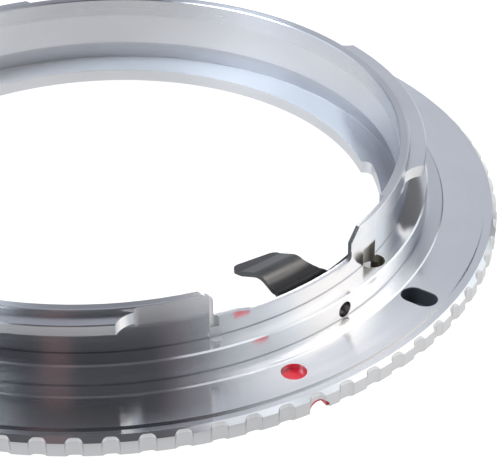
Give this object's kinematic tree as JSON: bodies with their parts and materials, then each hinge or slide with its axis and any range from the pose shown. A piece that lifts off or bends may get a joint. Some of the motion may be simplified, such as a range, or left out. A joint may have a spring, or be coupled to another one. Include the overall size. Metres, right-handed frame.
{
  "type": "lens mount adapter",
  "caption": "Flat chrome ring that joins a lens to a camera: bayonet lugs on both sides, a toothed flange, red index marks and a sprung lock lever.",
  "frame": {"origin": "on the ring's axis, at the surface that the tip of the lock pin stands on; the lens seat is 0.6 mm above it", "axes": "+Z is the ring's axis and points to the camera side; -Y is the near side as pictured, with the lock lever at the near right"},
  "size_m": [0.065, 0.065, 0.0079],
  "materials": {
    "plated_brass": "satin and polished bright plate over brass",
    "black_steel": "blackened spring steel sheet",
    "bright_steel": "bright turned steel",
    "red_enamel": "glossy red enamel"
  },
  "bodies": {
    "ring": {"adapter_ring": "plated_brass", "pivot_screw": "bright_steel", "camera_index_mark": "red_enamel", "lens_index_mark": "red_enamel"},
    "lever": {"lock_lever": "black_steel", "lock_pin": "bright_steel"}
  },
  "joints": [
    {"name": "lever_pivot", "type": "hinge", "parent": "ring", "child": "lever", "pos_m": [0.01557, -0.01827, 0.00314], "axis": [0.6486, -0.7611, 0], "range_deg": [0, 8], "stiffness_Nm_per_rad": 0.029, "springref_deg": -2.86}
  ]
}
